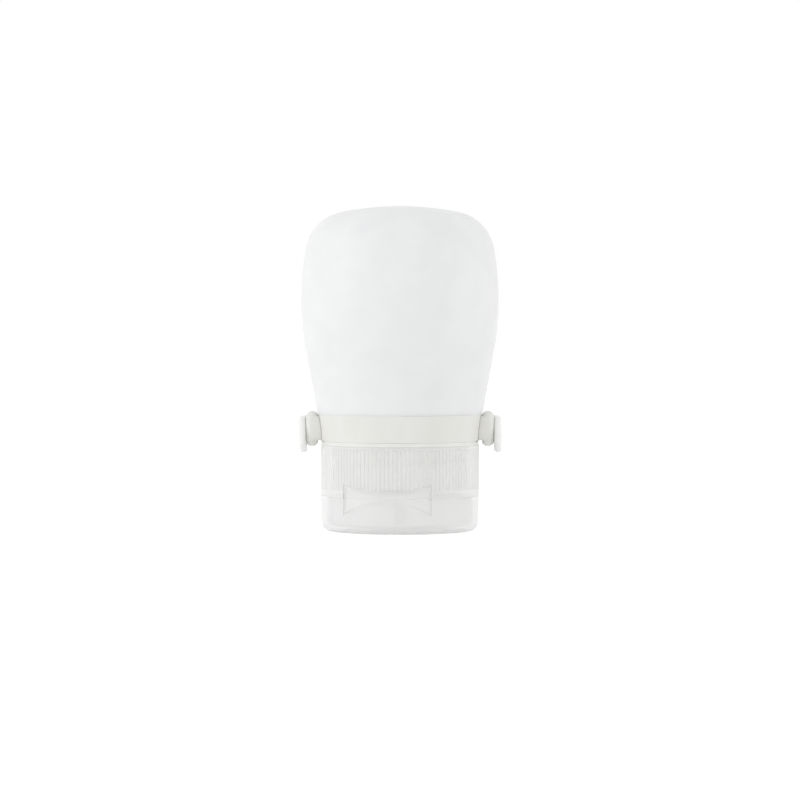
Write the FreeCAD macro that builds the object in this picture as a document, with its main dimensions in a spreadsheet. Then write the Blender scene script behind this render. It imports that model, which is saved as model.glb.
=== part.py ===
import FreeCAD, Part
import math
import os
import Sketcher
from FreeCAD import Vector

# A small squeeze bottle of soft silicone that stands upside down on its flip cap.
# +Z is up, the bottle's axis is Z, the viewer stands at -Y, and the origin is the
# middle of the lid's flat face. Lengths are millimetres and angles are degrees.

doc = FreeCAD.newDocument("travel_bottle")
sheet = doc.addObject("Spreadsheet::Sheet", "Sizes")

# Driving dimensions: one cell of the sheet each
sizes = {
    # Neck ring: the hard insert that carries the thread
    "neck_radius": 12.5,              # thread root, and the sleeve inside the silicone neck
    "neck_wall": 1.9,
    "neck_length": 7.95,              # mouth to flange
    "flange_lip": 0.9,                # how far the flange stands out past the silicone neck
    "flange_thickness": 0.7,
    "sleeve_height": 5.8,
    "barb_height": 0.4,               # ridge on the sleeve that bites into the silicone
    "barb_width": 1.2,
    "barb_rise": 2.6,                 # ridge centre above the flange

    # Screw thread, right-handed, one start
    "thread_depth": 0.8,
    "thread_root": 1.5,               # width of the ridge at its foot
    "thread_crest": 0.7,              # width of the ridge at its top
    "thread_lead": 3.2,
    "thread_clearance": 0.3,          # radial room between a crest and the opposite root
    "thread_play": 0.15,              # axial room between the flanks that carry the load
    "thread_start": 1.3,              # first ridge centre behind the mouth
    "thread_sink": 0.2,               # ridge foot inside its wall
    "neck_turns": 1.75,
    "cap_turns": 1.4,

    # Silicone bottle
    "body_wall": 2.0,
    "sleeve_fit": 0.05,               # silicone neck over the sleeve
    "body_height": 41.25,             # shoulder to crown
    "belly_bulge": 5.15,              # widest radius beyond the silicone neck
    "belly_rise": 22.7,               # widest place above the shoulder
    "belly_arc": 58.2,                # profile radius of the belly
    "corner_arc": 8.8,                # profile radius of the upper corner
    "crown_arc": 57.8,                # profile radius of the crown
    "flank_angle": 9.9,               # slope of the lower flank from vertical
    "shoulder_round": 0.4,

    # Collar that turns on the silicone neck
    "collar_fit": 0.08,
    "collar_play": 0.05,              # axial room at each end
    "collar_height": 5.51,
    "collar_wall": 1.15,              # at the lower edge
    "collar_taper": 0.55,             # how much wider the upper edge is
    "collar_round": 0.2,
    "boss_stand": 0.6,                # gap between the collar's lower edge and the boss disc
    "boss_radius": 3.55,
    "boss_thickness": 2.4,
    "boss_shank": 2.3,                # radius of the shank that joins disc and collar
    "boss_rise": 2.38,                # boss axis above the collar's lower edge
    "socket_radius": 1.3,
    "socket_depth": 2.1,

    # Hanging strap that clips into the bosses with two studs
    "strap_play": 0.08,               # gap between tab and boss
    "strap_thickness": 1.45,
    "strap_width": 5.0,
    "strap_run": 4.3,                 # straight part of each arm behind the studs
    "tab_radius": 3.7,
    "tab_drop": 1.1,                  # tab centre below the stud
    "tab_round": 0.65,
    "stud_fit": 0.06,
    "stud_end_gap": 0.3,

    # Flip cap
    "skirt_wall": 2.2,
    "rim_gap": 0.1,                   # cap rim to neck flange
    "rim_round": 0.3,
    "deck_thickness": 1.4,
    "rib_count": 120,
    "rib_height": 0.12,               # ribs stand flush with the deck and the rim
    "rib_width": 0.42,
    "rib_foot": 1.3,                  # ribs start this far above the seam
    "rib_head": 0.6,                  # ribs end this far below the rim
    "lid_height": 7.0,
    "lid_wall": 1.3,
    "lid_face": 1.2,
    "lid_draft": 0.2,
    "lid_edge_round": 1.8,
    "lid_inner_round": 0.8,
    "seam_gap": 0.12,
    "seam_bevel": 0.08,
    "spigot_gap": 0.35,               # lid wall to the spigot that it closes over
    "spigot_wall": 1.0,
    "spigot_height": 1.4,
    "post_radius": 1.4,               # post in the lid that backs the valve
    "post_flare": 1.0,
    "post_gap": 0.1,
    "thumb_radius": 6.0,              # scoop above the seam, opposite the hinge
    "thumb_depth": 0.7,
    "thumb_rise": 2.2,

    # Butterfly hinge of cap and lid
    "cap_angle": -11.2,               # the hinge's place round the axis, from -Y
    "wing_span": 8.6,                 # half the width of the butterfly
    "wing_rise": 2.6,                 # above the fold line, at the ends
    "waist_rise": 1.2,                # above the fold line, in the middle
    "wing_drop": 3.2,                 # below the fold line, at the ends
    "waist_drop": 0.6,                # below the fold line, in the middle
    "web_thickness": 0.7,
    "web_gap": 0.3,                   # room behind the web
    "wing_gap": 0.25,                 # slot at each end of the web
    "fold_depth": 0.35,
    "fold_width": 0.4,

    # Slit valve, its retaining ring and the neck seal
    "valve_radius": 3.9,
    "valve_gap": 0.1,
    "valve_reach": 0.8,               # how far the valve head stands out of the deck
    "valve_flange": 2.1,              # flange beyond the head
    "valve_flange_thickness": 0.7,
    "valve_skin": 0.6,
    "slit_length": 3.2,
    "slit_width": 0.12,
    "cup_gap": 0.05,
    "cup_wall": 1.0,
    "retainer_thickness": 0.8,
    "retainer_lip": 0.4,
    "seal_thickness": 0.8,
    "seal_edge": 0.15,                # seal flange inside the neck's outer edge
    "seal_lip": 0.9,
    "seal_depth": 1.7,
    "seal_fit": 0.05,
}
for row, (alias, number) in enumerate(sizes.items(), 1):
    sheet.set(f"A{row}", alias)
    sheet.set(f"B{row}", str(number))
    sheet.setAlias(f"B{row}", alias)
doc.recompute()


# Places that several pieces share, as expressions of the driving dimensions
def of(*terms):
    """Joins aliases and numbers into one expression, such as of("lid_height", "+", "seam_gap")."""
    words = []
    for term in terms:
        text = str(term)
        plain = text[:1].isalpha() and text.isidentifier()
        words.append(f"Sizes.{text}" if plain else text)
    return "(" + " ".join(words) + ")"


FOLD = of("lid_height", "+", "seam_gap", "/ 2")
SEAM = of("lid_height", "+", "seam_gap")
DECK_TOP = of(SEAM, "+", "deck_thickness")
MOUTH = of(DECK_TOP, "+", "seal_thickness")
FLANGE_LOW = of(MOUTH, "+", "neck_length")
FLANGE_TOP = of(FLANGE_LOW, "+", "flange_thickness")
RIM = of(FLANGE_LOW, "-", "rim_gap")
COLLAR_LOW = of(FLANGE_TOP, "+", "collar_play")
COLLAR_TOP = of(COLLAR_LOW, "+", "collar_height")
SHOULDER = of(COLLAR_TOP, "+", "collar_play")
CROWN = of(SHOULDER, "+", "body_height")
BELLY = of(SHOULDER, "+", "belly_rise")
BOSS_AXIS = of(COLLAR_LOW, "+", "boss_rise")

NECK_CREST = of("neck_radius", "+", "thread_depth")
BORE_RADIUS = of(NECK_CREST, "+", "thread_clearance")
CAP_RADIUS = of(BORE_RADIUS, "+", "skirt_wall")
LID_INNER = of(CAP_RADIUS, "-", "lid_wall")
SPIGOT_RADIUS = of(LID_INNER, "-", "spigot_gap")
NECK_BORE = of("neck_radius", "-", "neck_wall")
SILICONE_BORE = of("neck_radius", "+", "sleeve_fit")
SILICONE_NECK = of(SILICONE_BORE, "+", "body_wall")
BELLY_RADIUS = of(SILICONE_NECK, "+", "belly_bulge")
FLANGE_RADIUS = of(SILICONE_NECK, "+", "flange_lip")
COLLAR_BORE = of(SILICONE_NECK, "+", "collar_fit")
COLLAR_LOW_RADIUS = of(COLLAR_BORE, "+", "collar_wall")
COLLAR_TOP_RADIUS = of(COLLAR_LOW_RADIUS, "+", "collar_taper")
BOSS_INNER = of(COLLAR_LOW_RADIUS, "+", "boss_stand")
BOSS_OUTER = of(BOSS_INNER, "+", "boss_thickness")
STRAP_INNER = of(BOSS_OUTER, "+", "strap_play")
STRAP_OUTER = of(STRAP_INNER, "+", "strap_thickness")
STRAP_MIDDLE = of(STRAP_INNER, "+", "strap_thickness", "/ 2")
VALVE_TIP = of(SEAM, "-", "valve_reach")
VALVE_FLANGE_RADIUS = of("valve_radius", "+", "valve_flange")
VALVE_FLANGE_TOP = of(DECK_TOP, "+", "valve_flange_thickness")
CUP_BORE = of(VALVE_FLANGE_RADIUS, "+", "cup_gap")
RETAINER_TOP = of(VALVE_FLANGE_TOP, "+", "retainer_thickness")


def value(expression):
    """The number that an expression gives."""
    return float(sheet.evalExpression(expression.replace("Sizes.", "")))


def new_body(name):
    """An empty body."""
    return doc.addObject("PartDesign::Body", name)


def new_sketch(body, name, role, shift=None, along="z"):
    """A sketch on one of its body's own planes, moved along one of the sketch's axes by an expression."""
    sketch = body.newObject("Sketcher::SketchObject", name)
    plane = next(item for item in body.Origin.OriginFeatures if item.Role == role)
    sketch.AttachmentSupport = [(plane, "")]
    sketch.MapMode = "FlatFace"
    if shift:
        sketch.setExpression(f"AttachmentOffset.Base.{along}", shift)
    return sketch


def tie(sketch, kind, parts, expression):
    """A dimension in a sketch, bound to the sheet."""
    start = math.radians(value(expression)) if kind == "Angle" else value(expression)
    index = sketch.addConstraint(Sketcher.Constraint(kind, *parts, start))
    sketch.setExpression(f"Constraints[{index}]", expression)


def pin(sketch, edge, end, across, up):
    """Holds one point of a sketch at two expressions."""
    tie(sketch, "DistanceX", (-1, 1, edge, end), across)
    tie(sketch, "DistanceY", (-1, 1, edge, end), up)


def outline(sketch, corners):
    """A closed outline of straight runs, each corner bound to the sheet."""
    points = [Vector(value(across), value(up), 0) for across, up in corners]
    first = sketch.GeometryCount
    last = len(points) - 1
    for index, point in enumerate(points):
        following = points[0] if index == last else points[index + 1]
        sketch.addGeometry(Part.LineSegment(point, following), False)
    for index, (across, up) in enumerate(corners):
        edge = first + index
        before = first + (last if index == 0 else index - 1)
        sketch.addConstraint(Sketcher.Constraint("Coincident", before, 2, edge, 1))
        pin(sketch, edge, 1, across, up)


def arc(centre, radius, begin, end):
    """A circular arc between two points, anticlockwise."""
    circle = Part.Circle(centre, Vector(0, 0, 1), radius)
    first = math.atan2(begin.y - centre.y, begin.x - centre.x)
    last = math.atan2(end.y - centre.y, end.x - centre.x)
    return Part.ArcOfCircle(circle, first, last)


def turn(body, name, sketch, axis="V_Axis", kind="Revolution"):
    """A full revolution, or a groove, of a sketch about one of its own axes."""
    feature = body.newObject(f"PartDesign::{kind}", name)
    feature.Profile = sketch
    feature.ReferenceAxis = (sketch, [axis])
    feature.Angle = 360
    doc.recompute()
    return feature


def lathe(body, name, corners):
    """A solid turned about Z from (radius, height) corners."""
    sketch = new_sketch(body, f"{name}_profile", "XZ_Plane")
    outline(sketch, corners)
    return turn(body, name, sketch)


def pad(body, name, sketch, length):
    """A straight extrusion along the sketch's own normal."""
    feature = body.newObject("PartDesign::Pad", name)
    feature.Profile = sketch
    feature.setExpression("Length", length)
    doc.recompute()
    return feature


def round_edges(shape):
    """Name and circle of each round edge."""
    for index, edge in enumerate(shape.Edges, 1):
        if not edge.Degenerated and edge.Curve.TypeId == "Part::GeomCircle":
            yield f"Edge{index}", edge.Curve


def rims(shape, radius, place, axis="z"):
    """Names of the round edges of one radius at one place along an axis."""
    names = []
    for name, circle in round_edges(shape):
        same_radius = abs(circle.Radius - value(radius)) < 1e-4
        if same_radius and abs(getattr(circle.Center, axis) - value(place)) < 1e-4:
            names.append(name)
    return names


def ease(body, name, edges, kind, dimension, amount):
    """A fillet or a chamfer on named edges of the body as it stands."""
    feature = body.newObject(f"PartDesign::{kind}", name)
    feature.Base = (body.Tip if body.Tip != feature else feature.BaseFeature, edges)
    feature.setExpression(dimension, amount)
    doc.recompute()
    return feature


def soften(body, name, edges, radius):
    """A rounded edge."""
    return ease(body, name, edges, "Fillet", "Radius", radius)


def bevel(body, name, edges, width):
    """A flat edge at 45 degrees."""
    return ease(body, name, edges, "Chamfer", "Size", width)


def cylinder(name, radius, low, high):
    """A cylinder about Z between two heights."""
    item = doc.addObject("Part::Cylinder", name)
    item.setExpression("Radius", radius)
    item.setExpression("Height", of(high, "-", low))
    item.setExpression("Placement.Base.z", low)
    return item


def combine(kind, label, base, tool):
    """A boolean of two objects."""
    item = doc.addObject(f"Part::{kind}", label)
    item.Base = base
    item.Tool = tool
    doc.recompute()
    return item


def tube(name, inner, outer, low, high):
    """A plain ring about Z."""
    whole = cylinder(f"{name}_whole", outer, low, high)
    hole = cylinder(f"{name}_hole", inner, low, high)
    return combine("Cut", name, whole, hole)


# Silicone bottle
def corner_centre(belly, belly_radius, crown, crown_radius, corner_radius):
    """Centre of the arc that joins the belly arc and the crown arc smoothly."""
    reach = belly_radius - corner_radius
    other = crown_radius - corner_radius
    between = crown - belly
    along = (reach ** 2 - other ** 2 + between.Length ** 2) / (2 * between.Length)
    aside = math.sqrt(reach ** 2 - along ** 2)
    direction = between / between.Length
    return belly + direction * along + Vector(-direction.y, direction.x, 0) * aside


def bottle_outline(sketch, inset, neck, low, step):
    """Half of the bottle's outline, moved inwards by inset.

    Its neck starts at the height low and steps out to the flank at the height step.
    """
    belly_arc = of("belly_arc", "-", inset)
    corner_arc = of("corner_arc", "-", inset)
    crown_arc = of("crown_arc", "-", inset)
    belly = Vector(value(of(BELLY_RADIUS, "-", "belly_arc")), value(BELLY), 0)
    crown = Vector(0, value(of(CROWN, "-", "crown_arc")), 0)
    radii = [value(belly_arc), value(corner_arc), value(crown_arc)]
    corner = corner_centre(belly, radii[0], crown, radii[2], radii[1])

    # where the arcs meet
    slope = math.radians(value(of("flank_angle")))
    foot = belly + Vector(math.cos(slope), -math.sin(slope), 0) * radii[0]
    upper = corner - belly
    joint = belly + upper * (radii[0] / upper.Length)
    inward = corner - crown
    edge = crown + inward * (radii[2] / inward.Length)
    start = Vector(foot.x - (foot.y - value(step)) * math.tan(slope), value(step), 0)

    top = Vector(0, crown.y + radii[2], 0)
    bottom = Vector(0, value(low), 0)
    neck_low = Vector(value(neck), value(low), 0)
    neck_high = Vector(value(neck), value(step), 0)
    sketch.addGeometry(Part.LineSegment(bottom, neck_low), False)
    sketch.addGeometry(Part.LineSegment(neck_low, neck_high), False)
    sketch.addGeometry(Part.LineSegment(neck_high, start), False)
    sketch.addGeometry(Part.LineSegment(start, foot), False)
    sketch.addGeometry(arc(belly, radii[0], foot, joint), False)
    sketch.addGeometry(arc(corner, radii[1], joint, edge), False)
    sketch.addGeometry(arc(crown, radii[2], edge, top), False)
    sketch.addGeometry(Part.LineSegment(top, bottom), False)
    floor, wall, ledge, flank, belly_edge, corner_edge, crown_edge, axis = range(8)

    sharp = ((floor, wall), (wall, ledge), (ledge, flank), (crown_edge, axis), (axis, floor))
    smooth = ((flank, belly_edge), (belly_edge, corner_edge), (corner_edge, crown_edge))
    for before, after in sharp:
        sketch.addConstraint(Sketcher.Constraint("Coincident", before, 2, after, 1))
    for before, after in smooth:
        sketch.addConstraint(Sketcher.Constraint("Tangent", before, 2, after, 1))
    pin(sketch, floor, 1, "0", low)
    pin(sketch, wall, 1, neck, low)
    pin(sketch, ledge, 1, neck, step)
    tie(sketch, "DistanceY", (-1, 1, flank, 1), step)
    tie(sketch, "Angle", (flank,), of("90 -", "flank_angle"))
    pin(sketch, belly_edge, 3, of(BELLY_RADIUS, "-", "belly_arc"), BELLY)
    tie(sketch, "Radius", (belly_edge,), belly_arc)
    tie(sketch, "Radius", (corner_edge,), corner_arc)
    pin(sketch, crown_edge, 3, "0", of(CROWN, "-", "crown_arc"))
    tie(sketch, "Radius", (crown_edge,), crown_arc)
    tie(sketch, "DistanceX", (-1, 1, axis, 1), "0")


BARB = of(FLANGE_TOP, "+", "barb_rise")
BARB_LOW = of(BARB, "-", "barb_width", "/ 2")
BARB_HIGH = of(BARB, "+", "barb_width", "/ 2")

bottle = new_body("bottle_body")
skin = new_sketch(bottle, "skin_profile", "XZ_Plane")
bottle_outline(skin, "0", SILICONE_NECK, FLANGE_TOP, SHOULDER)
turn(bottle, "skin", skin)
hollow = new_sketch(bottle, "hollow_profile", "XZ_Plane")
bottle_outline(hollow, of("body_wall"), SILICONE_BORE, FLANGE_TOP, of(SHOULDER, "+", "body_wall"))
turn(bottle, "hollow", hollow, kind="Groove")
barb_seat = new_sketch(bottle, "barb_seat_profile", "XZ_Plane")
outline(barb_seat, [
    (of(SILICONE_BORE, "-", "barb_height"), BARB_LOW),
    (SILICONE_BORE, BARB_LOW),
    (of(SILICONE_BORE, "+", "barb_height"), BARB),
    (SILICONE_BORE, BARB_HIGH),
    (of(SILICONE_BORE, "-", "barb_height"), BARB_HIGH),
])
turn(bottle, "barb_seat", barb_seat, kind="Groove")
shoulder_edges = [
    name
    for name, circle in round_edges(bottle.Shape)
    if abs(circle.Center.z - value(SHOULDER)) < 1e-4 and circle.Radius > value(SILICONE_NECK) + 1e-3
]
soften(bottle, "shoulder_edge", shoulder_edges, of("shoulder_round"))


# Threads
def thread(body, name, foot, crest, middle, turns):
    """One helical ridge whose foot is sunk into its wall."""
    root_half = of("thread_root", "/ 2")
    crest_half = of("thread_crest", "/ 2")
    sketch = new_sketch(body, f"{name}_profile", "XZ_Plane")
    outline(sketch, [
        (foot, of(middle, "-", root_half)),
        (crest, of(middle, "-", crest_half)),
        (crest, of(middle, "+", crest_half)),
        (foot, of(middle, "+", root_half)),
    ])
    doc.recompute()
    before = 0 if body.Shape.isNull() else body.Shape.Volume
    ridge = body.newObject("PartDesign::AdditiveHelix", name)
    ridge.Profile = sketch
    ridge.ReferenceAxis = (sketch, ["V_Axis"])
    ridge.Mode = "pitch-height-angle"
    ridge.setExpression("Pitch", of("thread_lead"))
    ridge.setExpression("Height", of("thread_lead", "*", turns))
    doc.recompute()
    if body.Shape.Volume <= before:
        raise RuntimeError(f"{name} added nothing")


NECK_THREAD = of(MOUTH, "+", "thread_start")
FLANK_ROOM = of(
    "thread_root", "- (", "thread_root", "-", "thread_crest", ") / 2 * (1 +",
    "thread_clearance", "/", "thread_depth", ")",
)
CAP_THREAD = of(NECK_THREAD, "+", FLANK_ROOM, "+", "thread_play")

ring = new_body("neck_ring")
lathe(ring, "neck_ring_body", [
    (NECK_BORE, MOUTH),
    (of("neck_radius"), MOUTH),
    (of("neck_radius"), FLANGE_LOW),
    (FLANGE_RADIUS, FLANGE_LOW),
    (FLANGE_RADIUS, FLANGE_TOP),
    (of("neck_radius"), FLANGE_TOP),
    (of("neck_radius"), BARB_LOW),
    (of("neck_radius", "+", "barb_height"), BARB),
    (of("neck_radius"), BARB_HIGH),
    (of("neck_radius"), of(FLANGE_TOP, "+", "sleeve_height")),
    (NECK_BORE, of(FLANGE_TOP, "+", "sleeve_height")),
])
thread(ring, "neck_thread", of("neck_radius", "-", "thread_sink"), NECK_CREST, NECK_THREAD, "neck_turns")

# Neck seal: a flange under the mouth and a lip inside the neck
SEAL_OUTER = of("neck_radius", "-", "seal_edge")
SEAL_LIP_OUTER = of(NECK_BORE, "-", "seal_fit")
SEAL_INNER = of(SEAL_LIP_OUTER, "-", "seal_lip")
seal = new_body("neck_seal")
lathe(seal, "neck_seal_body", [
    (SEAL_INNER, DECK_TOP),
    (SEAL_OUTER, DECK_TOP),
    (SEAL_OUTER, MOUTH),
    (SEAL_LIP_OUTER, MOUTH),
    (SEAL_LIP_OUTER, of(MOUTH, "+", "seal_depth")),
    (SEAL_INNER, of(MOUTH, "+", "seal_depth")),
])

# Collar with a boss on each side
collar = new_body("collar")
lathe(collar, "collar_ring", [
    (COLLAR_BORE, COLLAR_LOW),
    (COLLAR_LOW_RADIUS, COLLAR_LOW),
    (COLLAR_TOP_RADIUS, COLLAR_TOP),
    (COLLAR_BORE, COLLAR_TOP),
])
collar_edges = rims(collar.Shape, COLLAR_LOW_RADIUS, COLLAR_LOW)
collar_edges += rims(collar.Shape, COLLAR_TOP_RADIUS, COLLAR_TOP)
soften(collar, "collar_edge", collar_edges, of("collar_round"))
SHANK_FOOT = of(COLLAR_BORE, "+", "collar_wall", "/ 2")
SOCKET_FLOOR = of(BOSS_OUTER, "-", "socket_depth")
boss_profile = new_sketch(collar, "boss_profile", "XZ_Plane", BOSS_AXIS, "y")
outline(boss_profile, [
    (SHANK_FOOT, "0"),
    (SHANK_FOOT, of("boss_shank")),
    (BOSS_INNER, of("boss_shank")),
    (BOSS_INNER, of("boss_radius")),
    (BOSS_OUTER, of("boss_radius")),
    (BOSS_OUTER, of("socket_radius")),
    (SOCKET_FLOOR, of("socket_radius")),
    (SOCKET_FLOOR, "0"),
])
boss = turn(collar, "boss", boss_profile, axis="H_Axis")
BOSS_ROUND = of("boss_thickness", "* 0.45")
BOSS_STEP = of("boss_radius", "-", "boss_shank")
boss_face = soften(
    collar, "boss_face", rims(collar.Shape, of("boss_radius"), BOSS_OUTER, "x"), BOSS_ROUND)
boss_back = soften(
    collar, "boss_back", rims(collar.Shape, of("boss_radius"), BOSS_INNER, "x"),
    of("min(", BOSS_ROUND, ";", BOSS_STEP, "* 0.9)"))
other_boss = collar.newObject("PartDesign::Mirrored", "other_boss")
other_boss.Originals = [boss, boss_face, boss_back]
side_plane = next(item for item in collar.Origin.OriginFeatures if item.Role == "YZ_Plane")
other_boss.MirrorPlane = (side_plane, [""])
collar.Tip = other_boss
doc.recompute()

# Hanging strap: a band round the back, a round tab at each end and a stud in each boss
strap = new_body("hang_strap")
path = new_sketch(strap, "strap_path", "XY_Plane", BOSS_AXIS)
half = value(STRAP_MIDDLE)
run = value(of("strap_run"))
path.addGeometry(Part.LineSegment(Vector(-half, 0, 0), Vector(-half, run, 0)), False)
bend = Part.Circle(Vector(0, run, 0), Vector(0, 0, 1), half)
path.addGeometry(Part.ArcOfCircle(bend, 0, math.pi), False)
path.addGeometry(Part.LineSegment(Vector(half, run, 0), Vector(half, 0, 0)), False)
left_arm, back, right_arm = range(3)
path.addConstraint(Sketcher.Constraint("Coincident", left_arm, 2, back, 2))
path.addConstraint(Sketcher.Constraint("Coincident", back, 1, right_arm, 1))
pin(path, left_arm, 1, of("0 -", STRAP_MIDDLE), "0")
pin(path, left_arm, 2, of("0 -", STRAP_MIDDLE), of("strap_run"))
pin(path, right_arm, 1, STRAP_MIDDLE, of("strap_run"))
pin(path, right_arm, 2, STRAP_MIDDLE, "0")
tie(path, "DistanceY", (-1, 1, back, 3), of("strap_run"))
section = new_sketch(strap, "strap_section", "XZ_Plane")
round_end = value(of("strap_thickness", "/ 2"))
upper = Vector(-half, value(of(BOSS_AXIS, "+", "strap_width", "/ 2 -", "strap_thickness", "/ 2")), 0)
lower = Vector(-half, value(of(BOSS_AXIS, "-", "strap_width", "/ 2 +", "strap_thickness", "/ 2")), 0)
aside = Vector(round_end, 0, 0)
top_circle = Part.Circle(upper, Vector(0, 0, 1), round_end)
low_circle = Part.Circle(lower, Vector(0, 0, 1), round_end)
section.addGeometry(Part.ArcOfCircle(top_circle, 0, math.pi), False)
section.addGeometry(Part.LineSegment(upper - aside, lower - aside), False)
section.addGeometry(Part.ArcOfCircle(low_circle, math.pi, 2 * math.pi), False)
section.addGeometry(Part.LineSegment(lower + aside, upper + aside), False)
top_end, outside, low_end, inside = range(4)
section.addConstraint(Sketcher.Constraint("Tangent", top_end, 2, outside, 1))
section.addConstraint(Sketcher.Constraint("Tangent", outside, 2, low_end, 1))
section.addConstraint(Sketcher.Constraint("Tangent", low_end, 2, inside, 1))
section.addConstraint(Sketcher.Constraint("Tangent", inside, 2, top_end, 1))
section.addConstraint(Sketcher.Constraint("Vertical", outside))
tie(section, "Radius", (top_end,), of("strap_thickness", "/ 2"))
pin(section, top_end, 3, of("0 -", STRAP_MIDDLE),
    of(BOSS_AXIS, "+", "strap_width", "/ 2 -", "strap_thickness", "/ 2"))
tie(section, "DistanceY", (-1, 1, low_end, 3),
    of(BOSS_AXIS, "-", "strap_width", "/ 2 +", "strap_thickness", "/ 2"))
band = strap.newObject("PartDesign::AdditivePipe", "band")
band.Profile = section
band.Spine = path
doc.recompute()

TAB_AXIS = of(BOSS_AXIS, "-", "tab_drop")
tab_profile = new_sketch(strap, "tab_profile", "XZ_Plane", TAB_AXIS, "y")
outline(tab_profile, [
    (STRAP_INNER, "0"),
    (STRAP_OUTER, "0"),
    (STRAP_OUTER, of("tab_radius")),
    (STRAP_INNER, of("tab_radius")),
])
tab = turn(strap, "tab", tab_profile, axis="H_Axis")
tab_edges = rims(strap.Shape, of("tab_radius"), STRAP_INNER, "x")
tab_edges += rims(strap.Shape, of("tab_radius"), STRAP_OUTER, "x")
tab_edge = soften(strap, "tab_edge", tab_edges, of("tab_round"))
STUD_RADIUS = of("socket_radius", "-", "stud_fit")
stud_profile = new_sketch(strap, "stud_profile", "XZ_Plane", BOSS_AXIS, "y")
outline(stud_profile, [
    (of(SOCKET_FLOOR, "+", "stud_end_gap"), "0"),
    (STRAP_MIDDLE, "0"),
    (STRAP_MIDDLE, STUD_RADIUS),
    (of(SOCKET_FLOOR, "+", "stud_end_gap"), STUD_RADIUS),
])
stud = turn(strap, "stud", stud_profile, axis="H_Axis")
other_end = strap.newObject("PartDesign::Mirrored", "other_end")
other_end.Originals = [tab, tab_edge, stud]
side_plane = next(item for item in strap.Origin.OriginFeatures if item.Role == "YZ_Plane")
other_end.MirrorPlane = (side_plane, [""])
strap.Tip = other_end
doc.recompute()


# Butterfly outline, pushed through the cap's wall at the hinge's place round the axis
def bow(wing, waist):
    """Radius of the arc that bends from waist in the middle to wing at the ends."""
    bend = of(wing, "-", waist)
    return of("(", "wing_span", "*", "wing_span", "+", bend, "*", bend, ") / (2 *", bend, ")")


def butterfly(name, end_gap):
    """A prism with the butterfly's outline, its two arcs carried on past each end by end_gap."""
    body = new_body(name)
    sketch = new_sketch(body, f"{name}_outline", "XZ_Plane")
    end = of("wing_span", "+", end_gap)
    rise_arc = bow("wing_rise", "waist_rise")
    drop_arc = bow("wing_drop", "waist_drop")
    rise_centre = of(FOLD, "+", "waist_rise", "+", rise_arc)
    drop_centre = of(FOLD, "-", "waist_drop", "-", drop_arc)
    across = value(end)
    above = Vector(0, value(rise_centre), 0)
    below = Vector(0, value(drop_centre), 0)
    rise = above.y - math.sqrt(value(rise_arc) ** 2 - across ** 2)
    drop = below.y + math.sqrt(value(drop_arc) ** 2 - across ** 2)
    corners = [
        Vector(-across, rise, 0), Vector(across, rise, 0),
        Vector(across, drop, 0), Vector(-across, drop, 0),
    ]
    sketch.addGeometry(arc(above, value(rise_arc), corners[0], corners[1]), False)
    sketch.addGeometry(Part.LineSegment(corners[1], corners[2]), False)
    sketch.addGeometry(arc(below, value(drop_arc), corners[2], corners[3]), False)
    sketch.addGeometry(Part.LineSegment(corners[3], corners[0]), False)
    upper, right, lower, left = range(4)
    for before, after in ((upper, right), (right, lower), (lower, left), (left, upper)):
        sketch.addConstraint(Sketcher.Constraint("Coincident", before, 2, after, 1))
    pin(sketch, upper, 3, "0", rise_centre)
    pin(sketch, lower, 3, "0", drop_centre)
    tie(sketch, "Radius", (upper,), rise_arc)
    tie(sketch, "Radius", (lower,), drop_arc)
    for edge, place in ((right, end), (left, of("0 -", end))):
        tie(sketch, "DistanceX", (-1, 1, edge, 1), place)
        sketch.addConstraint(Sketcher.Constraint("Vertical", edge))
    pad(body, f"{name}_prism", sketch, of(CAP_RADIUS, "+", "skirt_wall"))
    body.Placement = FreeCAD.Placement(Vector(), FreeCAD.Rotation(Vector(0, 0, 1), 0))
    body.setExpression("Placement.Rotation.Yaw", of("cap_angle"))
    doc.recompute()
    return body


WEB_INNER = of(CAP_RADIUS, "-", "web_thickness")
BEYOND_CAP = of(CAP_RADIUS, "+", "skirt_wall")
web_outline = butterfly("web_outline", "0")
slot_outline = butterfly("slot_outline", of("wing_gap"))
web_wall = tube("web_wall", WEB_INNER, CAP_RADIUS, "0", RIM)
fold_groove = tube(
    "fold_groove", of(CAP_RADIUS, "-", "fold_depth"), BEYOND_CAP,
    of(FOLD, "-", "fold_width", "/ 2"), of(FOLD, "+", "fold_width", "/ 2"))
web_blank = combine("Common", "web_blank", web_outline, web_wall)
hinge_web = combine("Cut", "hinge_web", web_blank, fold_groove)

# Cap base: deck with spigot and valve cup, ribbed skirt, plain rim and inner thread
RIB_LOW = of(SEAM, "+", "rib_foot")
RIB_HIGH = of(RIM, "-", "rib_head")
deck = new_body("cap_deck")
lathe(deck, "deck_shell", [
    (of("valve_radius", "+", "valve_gap"), SEAM),
    (of(SPIGOT_RADIUS, "-", "spigot_wall"), SEAM),
    (of(SPIGOT_RADIUS, "-", "spigot_wall"), of(SEAM, "-", "spigot_height")),
    (SPIGOT_RADIUS, of(SEAM, "-", "spigot_height")),
    (SPIGOT_RADIUS, SEAM),
    (CAP_RADIUS, SEAM),
    (CAP_RADIUS, RIB_LOW),
    (BORE_RADIUS, RIB_LOW),
    (BORE_RADIUS, DECK_TOP),
    (of(CUP_BORE, "+", "cup_wall"), DECK_TOP),
    (of(CUP_BORE, "+", "cup_wall"), RETAINER_TOP),
    (CUP_BORE, RETAINER_TOP),
    (CUP_BORE, DECK_TOP),
    (of("valve_radius", "+", "valve_gap"), DECK_TOP),
])
bevel(deck, "seam_edge", rims(deck.Shape, CAP_RADIUS, SEAM), of("seam_bevel"))
cap_rim = new_body("cap_rim")
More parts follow.
